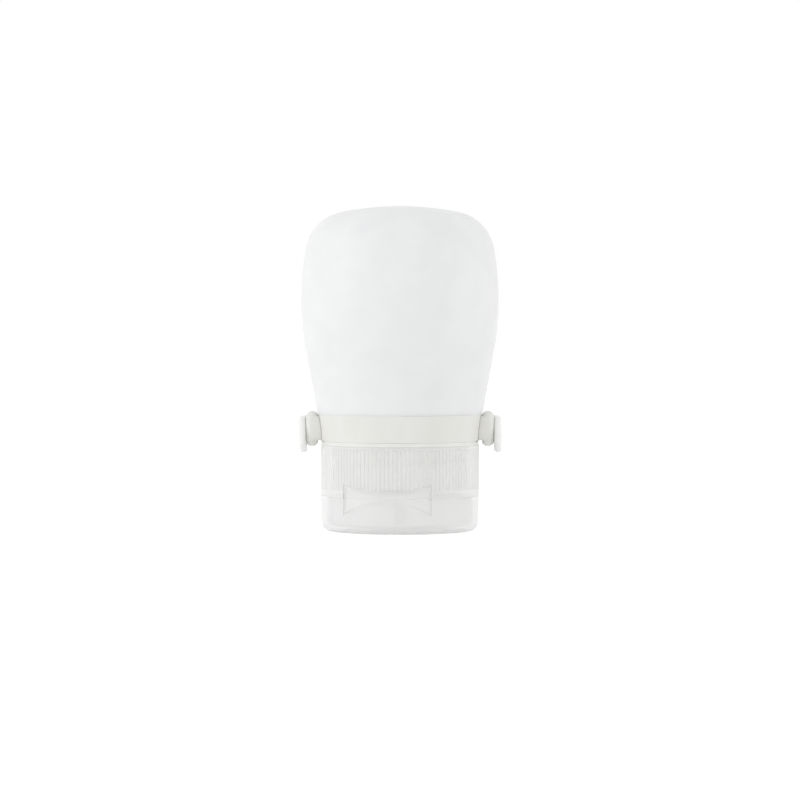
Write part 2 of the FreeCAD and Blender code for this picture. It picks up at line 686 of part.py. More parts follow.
lathe(cap_rim, "rim_ring", [
    (BORE_RADIUS, RIB_HIGH),
    (CAP_RADIUS, RIB_HIGH),
    (CAP_RADIUS, RIM),
    (BORE_RADIUS, RIM),
])
soften(cap_rim, "rim_edge", rims(cap_rim.Shape, CAP_RADIUS, RIM), of("rim_round"))
cap_thread = new_body("cap_thread")
thread(cap_thread, "cap_ridge", of(BORE_RADIUS, "+", "thread_sink"),
       of("neck_radius", "+", "thread_clearance"), CAP_THREAD, "cap_turns")


def ribbed_skirt():
    """The grip: a tube whose outer side carries fine upright ribs."""
    count = int(value(of("rib_count")))
    crest = value(CAP_RADIUS)
    root = crest - value(of("rib_height"))
    root_half = value(of("rib_width")) / 2 / root
    crest_half = root_half / 2
    low = value(RIB_LOW)
    rib = ((root, -root_half), (crest, -crest_half), (crest, crest_half), (root, root_half))
    points = []
    for index in range(count):
        middle = 2 * math.pi * index / count
        for radius, offset in rib:
            angle = middle + offset
            points.append(Vector(radius * math.cos(angle), radius * math.sin(angle), low))
    outer = Part.makePolygon(points + points[:1])
    hole = Part.Wire(Part.makeCircle(value(BORE_RADIUS), Vector(0, 0, low)))
    face = Part.makeFace([outer, hole], "Part::FaceMakerBullseye")
    return face.extrude(Vector(0, 0, value(RIB_HIGH) - low))


grip = doc.addObject("Part::Feature", "cap_grip")
grip.Shape = ribbed_skirt()

# the butterfly's slot and the thumb scoop opposite it
cap_slot_wall = tube("cap_slot_wall", of(WEB_INNER, "-", "web_gap"), BEYOND_CAP, SEAM, RIM)
cap_slot = combine("Common", "cap_slot", slot_outline, cap_slot_wall)
scoop = doc.addObject("Part::Sphere", "thumb_scoop")
scoop.setExpression("Radius", of("thumb_radius"))
SCOOP_REACH = of(CAP_RADIUS, "+", "thumb_radius", "-", "thumb_depth")
scoop.setExpression("Placement.Base.x", of("0 -", SCOOP_REACH, "* sin(", "cap_angle", "* 1 deg)"))
scoop.setExpression("Placement.Base.y", of(SCOOP_REACH, "* cos(", "cap_angle", "* 1 deg)"))
scoop.setExpression("Placement.Base.z", of(SEAM, "+", "thumb_rise"))
cap_cuts = combine("Fuse", "cap_cuts", cap_slot, scoop)
deck_cut = combine("Cut", "deck_cut", deck, cap_cuts)
grip_cut = combine("Cut", "grip_cut", grip, cap_cuts)
cap_base = doc.addObject("Part::MultiFuse", "cap_base")
cap_base.Shapes = [deck_cut, grip_cut, cap_rim, cap_thread]
cap_base.Refine = False
doc.recompute()

# Flip lid
lid = new_body("lid_blank")
lathe(lid, "lid_shell", [
    ("0", "0"),
    (of(CAP_RADIUS, "-", "lid_draft"), "0"),
    (CAP_RADIUS, of("lid_height")),
    (LID_INNER, of("lid_height")),
    (LID_INNER, of("lid_face")),
    (of("post_radius"), of("lid_face")),
    (of("post_radius"), of(VALVE_TIP, "-", "post_gap")),
    ("0", of(VALVE_TIP, "-", "post_gap")),
])
soften(lid, "lid_edge", rims(lid.Shape, of(CAP_RADIUS, "-", "lid_draft"), "0"), of("lid_edge_round"))
bevel(lid, "lid_seam_edge", rims(lid.Shape, CAP_RADIUS, of("lid_height")), of("seam_bevel"))
soften(lid, "lid_inner_edge", rims(lid.Shape, LID_INNER, of("lid_face")), of("lid_inner_round"))
soften(lid, "post_foot", rims(lid.Shape, of("post_radius"), of("lid_face")), of("post_flare"))
lid_slot_wall = tube(
    "lid_slot_wall", of(LID_INNER, "-", "spigot_gap", "/ 2"), BEYOND_CAP, "0", of("lid_height"))
lid_slot = combine("Common", "lid_slot", slot_outline, lid_slot_wall)
flip_lid = combine("Cut", "flip_lid", lid, lid_slot)

# Slit valve and the ring that holds it in the deck
valve_blank = new_body("valve_blank")
HEAD_INNER = of("valve_radius", "-", "valve_skin")
lathe(valve_blank, "valve_shell", [
    ("0", VALVE_TIP),
    (of("valve_radius", "/ 2"), VALVE_TIP),
    (of("valve_radius"), of(VALVE_TIP, "+", "valve_reach")),
    (of("valve_radius"), DECK_TOP),
    (VALVE_FLANGE_RADIUS, DECK_TOP),
    (VALVE_FLANGE_RADIUS, VALVE_FLANGE_TOP),
    (HEAD_INNER, VALVE_FLANGE_TOP),
    (HEAD_INNER, of(VALVE_TIP, "+", "valve_reach", "+", "valve_skin")),
    (of(HEAD_INNER, "/ 2"), of(VALVE_TIP, "+", "valve_skin")),
    ("0", of(VALVE_TIP, "+", "valve_skin")),
])


def slit(name, long_side, short_side):
    """A thin upright blade through the middle of the valve."""
    blade = doc.addObject("Part::Box", name)
    blade.setExpression("Length", long_side)
    blade.setExpression("Width", short_side)
    blade.setExpression("Height", of("valve_reach", "+", "valve_skin", "* 2"))
    blade.setExpression("Placement.Base.x", of("0 -", long_side, "/ 2"))
    blade.setExpression("Placement.Base.y", of("0 -", short_side, "/ 2"))
    blade.setExpression("Placement.Base.z", of(VALVE_TIP, "-", "valve_skin"))
    return blade


first_slit = slit("first_slit", of("slit_length"), of("slit_width"))
second_slit = slit("second_slit", of("slit_width"), of("slit_length"))
valve_once = combine("Cut", "valve_once", valve_blank, first_slit)
slit_valve = combine("Cut", "slit_valve", valve_once, second_slit)
retainer = new_body("valve_retainer")
RETAINER_BORE = of("valve_radius", "+", "retainer_lip")
lathe(retainer, "retainer_ring", [
    (RETAINER_BORE, VALVE_FLANGE_TOP),
    (of(CUP_BORE, "-", "cup_gap"), VALVE_FLANGE_TOP),
    (of(CUP_BORE, "-", "cup_gap"), RETAINER_TOP),
    (RETAINER_BORE, RETAINER_TOP),
])

# Every object is checked before anything is written
doc.recompute()
nodes = [bottle, ring, seal, collar, strap, cap_base, hinge_web, flip_lid, slit_valve, retainer]
for item in doc.Objects:
    if "Invalid" in item.State or "Error" in item.State:
        raise RuntimeError(f"{item.Label} is {item.State}")
for item in nodes:
    if item.Shape.isNull() or not item.Shape.isValid() or not item.Shape.Solids:
        raise RuntimeError(f"{item.Label} has no valid shape")

os.makedirs("parts", exist_ok=True)
for item in nodes:
    item.Shape.exportStep(f"parts/{item.Label}.step")
    box = item.Shape.BoundBox
    print(
        f"{item.Label}: {len(item.Shape.Solids)} solid, {item.Shape.Volume:.1f} mm3,"
        f" x {box.XMin:.2f} to {box.XMax:.2f}, y {box.YMin:.2f} to {box.YMax:.2f},"
        f" z {box.ZMin:.2f} to {box.ZMax:.2f}")
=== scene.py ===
import math

import bmesh
import bpy
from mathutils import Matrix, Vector


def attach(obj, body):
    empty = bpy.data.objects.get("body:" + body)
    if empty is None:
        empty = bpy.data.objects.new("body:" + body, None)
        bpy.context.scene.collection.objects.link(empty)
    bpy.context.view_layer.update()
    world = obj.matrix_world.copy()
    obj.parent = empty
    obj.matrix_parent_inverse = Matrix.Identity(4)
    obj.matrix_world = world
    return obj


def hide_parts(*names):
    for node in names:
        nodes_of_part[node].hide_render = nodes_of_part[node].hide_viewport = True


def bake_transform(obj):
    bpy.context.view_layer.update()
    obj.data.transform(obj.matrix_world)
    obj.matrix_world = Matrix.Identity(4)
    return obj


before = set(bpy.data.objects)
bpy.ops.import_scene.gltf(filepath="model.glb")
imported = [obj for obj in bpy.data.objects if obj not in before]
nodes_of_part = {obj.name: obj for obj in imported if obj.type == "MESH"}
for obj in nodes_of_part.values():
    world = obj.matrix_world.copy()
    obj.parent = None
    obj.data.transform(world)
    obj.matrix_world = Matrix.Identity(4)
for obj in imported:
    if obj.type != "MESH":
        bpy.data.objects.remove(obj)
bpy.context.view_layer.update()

# A small silicone squeeze bottle that stands upside down on its clear flip cap.
# The part's own frame is in metres: +Z is up and the viewer stands at -Y.
MM = 0.001
scene = bpy.context.scene

# Materials
CLOUD_FROM, CLOUD_TO = 0.35, 0.65           # the span of a noise in which the colour changes,
GLOSS_FROM, GLOSS_TO = 0.3, 0.7             # and the one in which the gloss does
GLOSS_FINER = 2.3                           # patches of gloss to one cloud of colour
CLOUD_DETAIL, FINE_DETAIL = 4.0, 2.0
UNSTRETCHED = (1, 1, 1)
EVEN_SCATTER = (1.0, 1.0, 1.0)
RUBBER_IOR, PLASTIC_IOR = 1.41, 1.49


def link(tree, source, target):
    tree.links.new(source, target)


def set_up(node, sockets):
    """Set plain values on a node's own sockets. A _ in a name stands for a space."""
    for socket, amount in sockets.items():
        node.inputs[socket.replace("_", " ")].default_value = amount
    return node


def add(tree, kind, **sockets):
    return set_up(tree.nodes.new(kind), sockets)


def noise(tree, scale, detail, stretch=UNSTRETCHED):
    """A noise in the part's own coordinates, with scale in grains per metre."""
    place = add(tree, "ShaderNodeTexCoord")
    mapping = add(tree, "ShaderNodeMapping", Scale=stretch)
    grain = add(tree, "ShaderNodeTexNoise", Scale=scale, Detail=detail)
    link(tree, place.outputs["Object"], mapping.inputs["Vector"])
    link(tree, mapping.outputs["Vector"], grain.inputs["Vector"])
    return grain.outputs["Fac"]


def between(tree, share, low, high):
    """A number that goes from low to high with a noise."""
    span = add(tree, "ShaderNodeMapRange",
               From_Min=GLOSS_FROM, From_Max=GLOSS_TO, To_Min=low, To_Max=high)
    link(tree, share, span.inputs["Value"])
    return span.outputs["Result"]


def tinted(tree, share, deep, pale):
    """A colour that goes from deep to pale with a noise."""
    ramp = add(tree, "ShaderNodeValToRGB")
    first, last = ramp.color_ramp.elements
    first.position, first.color = CLOUD_FROM, (*deep, 1)
    last.position, last.color = CLOUD_TO, (*pale, 1)
    link(tree, share, ramp.inputs["Fac"])
    return ramp.outputs["Color"]


def bumped(tree, shader, height, depth):
    """Fine relief, with depth in metres."""
    bump = add(tree, "ShaderNodeBump", Strength=1.0, Distance=depth)
    link(tree, height, bump.inputs["Height"])
    link(tree, bump.outputs["Normal"], shader.inputs["Normal"])


def moulded(name, deep, pale, cloud, rough, grain, depth, stretch=UNSTRETCHED, **sockets):
    """A moulded material: cloudy colour, uneven gloss and a fine skin.

    cloud and grain are the sizes of the clouds and of the skin's grain, and depth is
    the grain's relief, all in metres. The other values go to the principled shader.
    """
    material = bpy.data.materials.new(name)
    material.use_nodes = True
    tree = material.node_tree
    shader = next(node for node in tree.nodes if node.type == "BSDF_PRINCIPLED")
    set_up(shader, sockets)
    clouds = noise(tree, 1 / cloud, CLOUD_DETAIL, stretch)
    link(tree, tinted(tree, clouds, deep, pale), shader.inputs["Base Color"])
    gloss = noise(tree, GLOSS_FINER / cloud, FINE_DETAIL, stretch)
    link(tree, between(tree, gloss, *rough), shader.inputs["Roughness"])
    bumped(tree, shader, noise(tree, 1 / grain, FINE_DETAIL), depth)
    return material


silicone = moulded(
    "milky_silicone", deep=(0.83, 0.834, 0.84), pale=(0.854, 0.858, 0.861),
    cloud=6 * MM, rough=(0.42, 0.52), grain=0.35 * MM, depth=0.004 * MM,
    Subsurface_Weight=0.15, Subsurface_Radius=EVEN_SCATTER, Subsurface_Scale=2.0 * MM,
    IOR=RUBBER_IOR, Specular_IOR_Level=0.35)
collar_plastic = moulded(
    "collar_plastic", deep=(0.775, 0.772, 0.737), pale=(0.80, 0.797, 0.767),
    cloud=5 * MM, rough=(0.38, 0.48), grain=0.3 * MM, depth=0.003 * MM, stretch=(1, 1, 0.4),
    IOR=PLASTIC_IOR)
strap_rubber = moulded(
    "strap_rubber", deep=(0.93, 0.93, 0.92), pale=(0.95, 0.95, 0.94),
    cloud=4 * MM, rough=(0.5, 0.6), grain=0.25 * MM, depth=0.004 * MM,
    Subsurface_Weight=0.15, Subsurface_Radius=EVEN_SCATTER, Subsurface_Scale=1.5 * MM,
    IOR=RUBBER_IOR)
clear_plastic = moulded(
    "hazy_clear_plastic", deep=(0.945, 0.95, 0.945), pale=(0.97, 0.972, 0.965),
    cloud=5 * MM, rough=(0.42, 0.52), grain=0.5 * MM, depth=0.002 * MM,
    Alpha=0.54, IOR=PLASTIC_IOR)
cap_look = {
    "deep": (0.945, 0.947, 0.935), "pale": (0.97, 0.97, 0.96),
    "cloud": 5 * MM, "rough": (0.38, 0.48), "grain": 0.5 * MM, "depth": 0.002 * MM,
    "IOR": PLASTIC_IOR,
}
cap_plastic = moulded("hazy_cap_plastic", Alpha=0.62, **cap_look)
deck_plastic = moulded("hazy_deck_plastic", Alpha=0.71, **cap_look)
neck_plastic = moulded(
    "neck_plastic", deep=(0.795, 0.795, 0.77), pale=(0.82, 0.82, 0.80),
    cloud=4 * MM, rough=(0.06, 0.10), grain=0.4 * MM, depth=0.0005 * MM,
    IOR=PLASTIC_IOR)
seal_rubber = moulded(
    "seal_rubber", deep=(0.82, 0.82, 0.81), pale=(0.87, 0.87, 0.86),
    cloud=3 * MM, rough=(0.45, 0.55), grain=0.25 * MM, depth=0.004 * MM,
    Subsurface_Weight=0.6, Subsurface_Radius=EVEN_SCATTER, Subsurface_Scale=0.8 * MM,
    IOR=RUBBER_IOR)

finish_of = {
    "bottle_body": silicone,
    "neck_ring": neck_plastic,
    "neck_seal": seal_rubber,
    "collar": collar_plastic,
    "hang_strap": strap_rubber,
    "cap_base": cap_plastic,
    "hinge_web": clear_plastic,
    "flip_lid": clear_plastic,
    "slit_valve": seal_rubber,
    "valve_retainer": neck_plastic,
}


def painted(mesh, material):
    mesh.materials.clear()
    mesh.materials.append(material)


for node_name, finish in finish_of.items():
    painted(nodes_of_part[node_name].data, finish)

# What the pieces share
SHARP = math.radians(40)


def placed(name, data):
    item = bpy.data.objects.new(name, data)
    scene.collection.objects.link(item)
    return item


def new_piece(name, mesh, material, body, node):
    """A smooth piece in place of a CAD node. It rides on body, if there is one."""
    painted(mesh, material)
    mesh.polygons.foreach_set("use_smooth", [True] * len(mesh.polygons))
    mesh.set_sharp_from_angle(angle=SHARP)
    item = placed(name, mesh)
    if body:
        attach(item, body)
    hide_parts(node)
    return item


def built(name, points, faces):
    mesh = bpy.data.meshes.new(name)
    mesh.from_pydata(points, [], faces)
    mesh.update()
    return mesh


def copied(node):
    return nodes_of_part[node].data.copy()


def from_axis(place):
    return math.hypot(place.x, place.y)


def eased(share):
    """0 to 1 with a soft start and end."""
    share = min(1.0, max(0.0, share))
    return share * share * (3 - 2 * share)


# Silicone bottle: the solid's own profile, turned with a finer skin and a lip that runs
# down over the collar's edge. Places are (radius, height), and all sizes in millimetres.
NECK_LOW, NECK_RADIUS, NECK_BORE = 17.97, 14.55, 12.55
SHOULDER = 23.555
LIP_TOP = Vector((16.887, 25.2))
LIP_BEND = Vector((16.70, 24.13))
LIP_TIP = Vector((16.345, 23.33))
COLLAR_EDGE, LIP_FIT = Vector((16.109, 23.33)), 0.225
BELLY_RADIUS, BELLY_HEIGHT, TOP = 19.70, 46.28, 64.83
BELLY_ARC, CORNER_ARC, CROWN_ARC = 58.2, 8.8, 57.8
BELLY = Vector((BELLY_RADIUS - BELLY_ARC, BELLY_HEIGHT))
CROWN = Vector((0.0, TOP - CROWN_ARC))
FLANK = math.radians(9.9)
WALL = 2.0
SEGMENTS = 160
POLES = 2                                   # the points on the axis, outside and inside
BELLY_STEPS, CORNER_STEPS, CROWN_STEPS, LIP_STEPS = 40, 24, 16, 8


def on_circle(centre, radius, angle):
    return centre + radius * Vector((math.cos(angle), math.sin(angle)))


def arc_points(centre, radius, first, last, count):
    """Points of an arc, both ends included."""
    turn = last - first
    return [on_circle(centre, radius, first + turn * step / count) for step in range(count + 1)]


def bottle_side(inset):
    """The wall from the foot of the belly arc up to the axis, moved inwards by inset."""
    apart = CROWN - BELLY
    reach, other = BELLY_ARC - CORNER_ARC, CROWN_ARC - CORNER_ARC
    along = (reach ** 2 - other ** 2 + apart.length_squared) / (2 * apart.length)
    aside = math.sqrt(reach ** 2 - along ** 2)
    forward = apart.normalized()
    corner = BELLY + along * forward + aside * Vector((-forward.y, forward.x))
    low = math.atan2(*(corner - BELLY).yx)
    high = math.atan2(*(corner - CROWN).yx)
    side = arc_points(BELLY, BELLY_ARC - inset, -FLANK, low, BELLY_STEPS)
    side += arc_points(corner, CORNER_ARC - inset, low, high, CORNER_STEPS)[1:]
    side += arc_points(CROWN, CROWN_ARC - inset, high, math.pi / 2, CROWN_STEPS)[1:]
    return side


def lip_points():
    """The lip's outer bow down to its tip, and its foot round the collar's edge."""
    bow = []
    for step in range(LIP_STEPS + 1):
        share = step / LIP_STEPS
        rest = 1 - share
        bow.append(rest ** 2 * LIP_TOP + 2 * share * rest * LIP_BEND + share ** 2 * LIP_TIP)
    return bow + arc_points(COLLAR_EDGE, LIP_FIT, 0.0, math.pi / 2, LIP_STEPS)


def bottle_mesh():
    """A closed skin: crown, outer wall, lip, neck, inner wall and the crown's inside."""
    outer, inner = bottle_side(0.0), bottle_side(WALL)
    inner_step = SHOULDER + WALL
    inner_edge = inner[0].x - (inner[0].y - inner_step) * math.tan(FLANK)
    neck = [
        Vector((NECK_RADIUS, SHOULDER)), Vector((NECK_RADIUS, NECK_LOW)),
        Vector((NECK_BORE, NECK_LOW)), Vector((NECK_BORE, inner_step)),
        Vector((inner_edge, inner_step)),
    ]
    profile = outer[::-1] + lip_points() + neck + inner
    points = [(0.0, 0.0, profile[0].y * MM), (0.0, 0.0, profile[-1].y * MM)]
    rings = profile[1:-1]
    for place in rings:
        radius, height = place.x * MM, place.y * MM
        for step in range(SEGMENTS):
            angle = 2 * math.pi * step / SEGMENTS
            points.append((radius * math.cos(angle), radius * math.sin(angle), height))
    faces = []
    last = POLES + (len(rings) - 1) * SEGMENTS
    for step in range(SEGMENTS):
        following = (step + 1) % SEGMENTS
        faces.append((0, POLES + step, POLES + following))
        faces.append((1, last + following, last + step))
        for ring in range(len(rings) - 1):
            upper = POLES + ring * SEGMENTS
            lower = upper + SEGMENTS
            faces.append((upper + step, lower + step, lower + following, upper + following))
    return built("soft_bottle", points, faces)


new_piece("soft_bottle", bottle_mesh(), silicone, "bottle", "bottle_body")

# Collar, neck flange, cap and lid: copies of the solids, whose finer edges meet more closely.
# A corner is (radius, height).
CAP_RADIUS = 15.8 * MM
COLLAR_CORNER, COLLAR_ROUND = (15.785 * MM, 18.02 * MM), 0.205 * MM
CAP_CORNER, CAP_ROUND = (CAP_RADIUS, 17.17 * MM), 0.305 * MM
SEAM_CORNER, LID_CORNER = (CAP_RADIUS, 7.12 * MM), (CAP_RADIUS, 7.0 * MM)
SEAM_BEVEL, SEAM_GAP = 0.085 * MM, 0.02 * MM
EDGE_SHARE, RIM_SHARE = 0.2, 0.35           # what is left of an edge's rounding
FLANGE_TOP, FLANGE_LOW = 17.97 * MM, 17.27 * MM
FLANGE_INNER, FLANGE_EDGE = 15.0 * MM, 15.74 * MM
BOSS_REACH = 15.0 * MM                      # the bosses lie beyond it on both sides
RIBS_LOW, WALL_INNER = 8.45 * MM, 15.0 * MM

# The bosses, in millimetres. The skirt is a boss's back edge, the points between its inner
# and outer distance from the middle, and between its hole and its rim round the boss's axis.
COLLAR_FLARE = 0.1                          # how much the collar widens with height
BOSS_AXIS, BOSS_RADIUS, BOSS_SHANK = 20.40, 3.55, 2.3
BOSS_BACK, BOSS_EDGE = 16.38, 17.46
SKIRT_INNER, SKIRT_OUTER = BOSS_BACK - 0.05, BOSS_EDGE + 0.02
SKIRT_HOLE, SKIRT_RIM = BOSS_SHANK + 0.03, BOSS_RADIUS + 0.05
SKIRT_LOW, SKIRT_HIGH, SKIRT_FADE = 18.15, 23.0, 0.5
SKIRT_FULLER = 0.7                          # its share of the way out to the boss's radius
SKIRT_GAP = 0.01


def widened(point, ring):
    """Move a point straight out from the axis to the radius ring."""
    share = ring / from_axis(point.co)
    point.co.x *= share
    point.co.y *= share


def finer_edge(mesh, corner, reach, share, low, widest=math.inf):
    """Draw a rounded ring edge in towards its corner, which moves to the level low."""
    for point in mesh.vertices:
        ring = from_axis(point.co) - corner[0]
        rise = point.co.z - corner[1]
        if abs(ring) < reach and abs(rise) < reach and abs(point.co.x) < widest:
            widened(point, corner[0] + share * ring)
            point.co.z = low + share * rise
    return mesh


def flange_mesh():
    """The neck with a wider flange that comes down to the cap's rim."""
    mesh = copied("neck_ring")
    for point in mesh.vertices:
        if from_axis(point.co) < FLANGE_INNER or point.co.z < FLANGE_LOW - SEAM_GAP:
            continue
        if point.co.z < FLANGE_TOP + SEAM_GAP:
            widened(point, FLANGE_EDGE)
            if point.co.z < (FLANGE_LOW + FLANGE_TOP) / 2:
                point.co.z = CAP_CORNER[1] + SEAM_GAP
    return mesh


def filled_bosses(mesh):
    """Carry the back edge of each boss in to the collar, as the photo shows no gap behind it."""
    for point in mesh.vertices:
        out = abs(point.co.x) / MM
        rise = point.co.z / MM - BOSS_AXIS
        across = point.co.y / MM
        ring = math.hypot(across, rise)
        if not (SKIRT_INNER < out < SKIRT_OUTER and SKIRT_HOLE < ring < SKIRT_RIM):
            continue
        level = BOSS_AXIS + rise
        share = eased((level - SKIRT_LOW) / SKIRT_FADE) * eased((SKIRT_HIGH - level) / SKIRT_FADE)
        fuller = 1 + share * SKIRT_FULLER * (BOSS_RADIUS - ring) / ring
        across *= fuller
        level = BOSS_AXIS + rise * fuller
        face = COLLAR_CORNER[0] / MM + COLLAR_FLARE * (level - COLLAR_CORNER[1] / MM)
        wall = math.sqrt(face ** 2 - across ** 2) + SKIRT_GAP
        along = (out - BOSS_BACK) / (BOSS_EDGE - BOSS_BACK)
        moved = out + share * (wall + along * (BOSS_EDGE - wall) - out)
        point.co = (math.copysign(moved * MM, point.co.x), across * MM, level * MM)
    return mesh


collar_mesh = finer_edge(
    copied("collar"), COLLAR_CORNER, COLLAR_ROUND, EDGE_SHARE, FLANGE_TOP + SEAM_GAP, BOSS_REACH)
new_piece("collar_band", filled_bosses(collar_mesh), collar_plastic,
          "collar_ring", "collar")
new_piece("neck_insert", flange_mesh(), neck_plastic, "bottle", "neck_ring")
cap_mesh = finer_edge(copied("cap_base"), CAP_CORNER, CAP_ROUND, RIM_SHARE, CAP_CORNER[1])
cap_mesh = finer_edge(cap_mesh, SEAM_CORNER, SEAM_BEVEL, EDGE_SHARE, SEAM_CORNER[1])
new_piece("clear_cap", cap_mesh, cap_plastic, "cap", "cap_base")
lid_mesh = finer_edge(
    copied("flip_lid"), LID_CORNER, SEAM_BEVEL, EDGE_SHARE, SEAM_CORNER[1] - SEAM_GAP)
new_piece("clear_lid", lid_mesh, clear_plastic, "lid", "flip_lid")

# The cap's thick deck looks denser from outside than its wall does
cap_mesh.materials.append(deck_plastic)
for face in cap_mesh.polygons:
    if face.center.z < RIBS_LOW and from_axis(face.center) > WALL_INNER:
        face.material_index = 1

# Rubber valve and seal: copies of the solids with the rounded edges of moulded rubber
VALVE_ROUND, SEAL_ROUND = 0.08 * MM, 0.25 * MM
ROUND_STEPS, ROUND_PROFILE = 3, 0.5
SAME_POINT, FLAT = 1e-7, math.radians(0.5)


def softened(node, size):
    """A copy of a node whose sharp outward edges are rounded by size."""
    mesh = copied(node)
    shape = bmesh.new()
    shape.from_mesh(mesh)
    bmesh.ops.remove_doubles(shape, verts=shape.verts, dist=SAME_POINT)
    bmesh.ops.dissolve_limit(shape, angle_limit=FLAT, verts=shape.verts, edges=shape.edges)
    edges = [edge for edge in shape.edges
             if edge.is_manifold and edge.is_convex and edge.calc_face_angle(0) > SHARP]
    bmesh.ops.bevel(
        shape, geom=edges, offset=size, segments=ROUND_STEPS, profile=ROUND_PROFILE,
        affect="EDGES", clamp_overlap=True)
    shape.to_mesh(mesh)
    shape.free()
    return mesh


new_piece("soft_valve", softened("slit_valve", VALVE_ROUND), seal_rubber,
          "cap", "slit_valve")
new_piece("soft_seal", softened("neck_seal", SEAL_ROUND), seal_rubber,
          "seal", "neck_seal")

# Strap: the tabs lie on their bosses. The left one bulges and its tip leans in, as soft
# rubber does.
TAB_FACE, TAB_OUTER = 18.84 * MM, 0.9 * MM  # a tab's inner face, and its outer half from there
TAB_SEAT, TAB_BACK = 0.05 * MM, 4 * MM      # how far the tabs settle, and how far back
BAND_FROM, BAND_FADE = 12 * MM, 8 * MM      # the band behind it keeps its shape
LEAN, LEAN_FROM, LEAN_LENGTH = 0.30 * MM, 18.2 * MM, 2.6 * MM
BULGE, BULGE_LEVEL, BULGE_SPREAD = 0.12 * MM, 20.8 * MM, 1.5 * MM


def strap_mesh():
    mesh = copied("hang_strap")
    for point in mesh.vertices:
        side = math.copysign(1, point.co.x)
        out = abs(point.co.x) - TAB_FACE
        if out < 0:
            continue
        if out < TAB_SEAT and point.co.y < TAB_BACK:
            point.co.x -= side * TAB_SEAT
        if side < 0:
            beside = eased((BAND_FROM - point.co.y) / BAND_FADE)
            lean = LEAN * eased((LEAN_FROM - point.co.z) / LEAN_LENGTH)
            bulge = BULGE * math.exp(-((point.co.z - BULGE_LEVEL) / BULGE_SPREAD) ** 2)
            point.co.x += beside * (lean - (bulge if out > TAB_OUTER else 0))
    return mesh


new_piece("soft_strap", strap_mesh(), strap_rubber, "strap", "hang_strap")

# Butterfly hinge: one film of plastic, built as a still mesh in its closed shape
FILM_THICKNESS = 0.7 * MM
FOLD = 7.06 * MM
FOLD_DEPTH, FOLD_HALF = 0.35 * MM, 0.2 * MM
WING_SPAN = 8.74 * MM
WING_RISE, WAIST_RISE = 2.6 * MM, 1.2 * MM
WING_DROP, WAIST_DROP = 3.2 * MM, 0.6 * MM
CAP_ANGLE = math.radians(-11.2)
EMBOSS, EMBOSS_EDGE = 0.3 * MM, 0.6 * MM
COLUMNS = 84
ROWS_BESIDE, ROWS_IN_FOLD = 14, 16


def butterfly_edge(across, waist, wing):
    """Distance of the butterfly's bowed edge from the fold line."""
    bend = wing - waist
    bow = (WING_SPAN ** 2 + bend ** 2) / (2 * bend)
    return waist + bow - math.sqrt(bow ** 2 - across ** 2)


def film_row(row, rise, drop):
    """Height of a row of the film over the fold line, and the depth of the fold there."""
    if row <= ROWS_BESIDE:
        return rise + (FOLD_HALF - rise) * row / ROWS_BESIDE, 0.0
    if row < ROWS_BESIDE + ROWS_IN_FOLD:
        share = (row - ROWS_BESIDE) / ROWS_IN_FOLD
        return FOLD_HALF * (1 - 2 * share), FOLD_DEPTH * math.sin(math.pi * share) ** 0.5
    share = (row - ROWS_BESIDE - ROWS_IN_FOLD) / ROWS_BESIDE
    return -FOLD_HALF - (drop - FOLD_HALF) * share, 0.0


def film_mesh():
    """The film's two sides and its rim, as one closed mesh."""
    points, faces = [], []
    width = COLUMNS + 1
    rows = 2 * ROWS_BESIDE + ROWS_IN_FOLD + 1
    for side in (0, 1):
        for row in range(rows):
            for column in range(width):
                across = WING_SPAN * (2 * column / COLUMNS - 1)
                rise = butterfly_edge(across, WAIST_RISE, WING_RISE)
                drop = butterfly_edge(across, WAIST_DROP, WING_DROP)
                height, thinner = film_row(row, rise, drop)
                inside = min(rise - height, height + drop, WING_SPAN - abs(across))
                sunk = max(thinner, EMBOSS * eased(inside / EMBOSS_EDGE))
                radius = CAP_RADIUS - (FILM_THICKNESS if side else sunk)
                away = -math.sqrt(radius ** 2 - across ** 2)
                points.append((
                    across * math.cos(CAP_ANGLE) - away * math.sin(CAP_ANGLE),
                    across * math.sin(CAP_ANGLE) + away * math.cos(CAP_ANGLE),
                    FOLD + height))

    def corner(side, row, column):
        return (side * rows + row) * width + column

    for row in range(rows - 1):
        for column in range(COLUMNS):
            outer = [corner(0, row, column), corner(0, row + 1, column),
                     corner(0, row + 1, column + 1), corner(0, row, column + 1)]
            inner = [index + rows * width for index in reversed(outer)]
            faces += [outer, inner]
    for column in range(COLUMNS):
        for row, step in ((0, 1), (rows - 1, -1)):
            first, last = (column, column + 1)[::step]
            faces.append([corner(0, row, first), corner(0, row, last),
                          corner(1, row, last), corner(1, row, first)])
    for row in range(rows - 1):
        for column, step in ((0, -1), (COLUMNS, 1)):
            first, last = (row, row + 1)[::step]
            faces.append([corner(0, first, column), corner(0, last, column),
                          corner(1, last, column), corner(1, first, column)])
    return built("hinge_film", points, faces)


film = new_piece("hinge_film", film_mesh(), clear_plastic, None, "hinge_web")
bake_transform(film)

# Stage: a pale floor and a white surround
FLOOR_HALF, FLOOR_LOW = 2.0, -0.05 * MM
FLOOR_CORNERS = ((-1, -1), (1, -1), (1, 1), (-1, 1))
FLOOR_GREY = 0.94
FLOOR_SEEN_GREY, FLOOR_SEEN_GLOW = 0.5, 0.70    # together white to the camera, with the shadow
AMBIENT = 0.92
AMBIENT_SLOPE = (-0.02, 0.06, -0.05)            # how the ambient light changes with direction


def grey(level):
    return (level, level, level, 1)


def emptied(owner):
    """The node tree of a material or world, with no nodes."""
    owner.use_nodes = True
    owner.node_tree.nodes.clear()
    return owner.node_tree


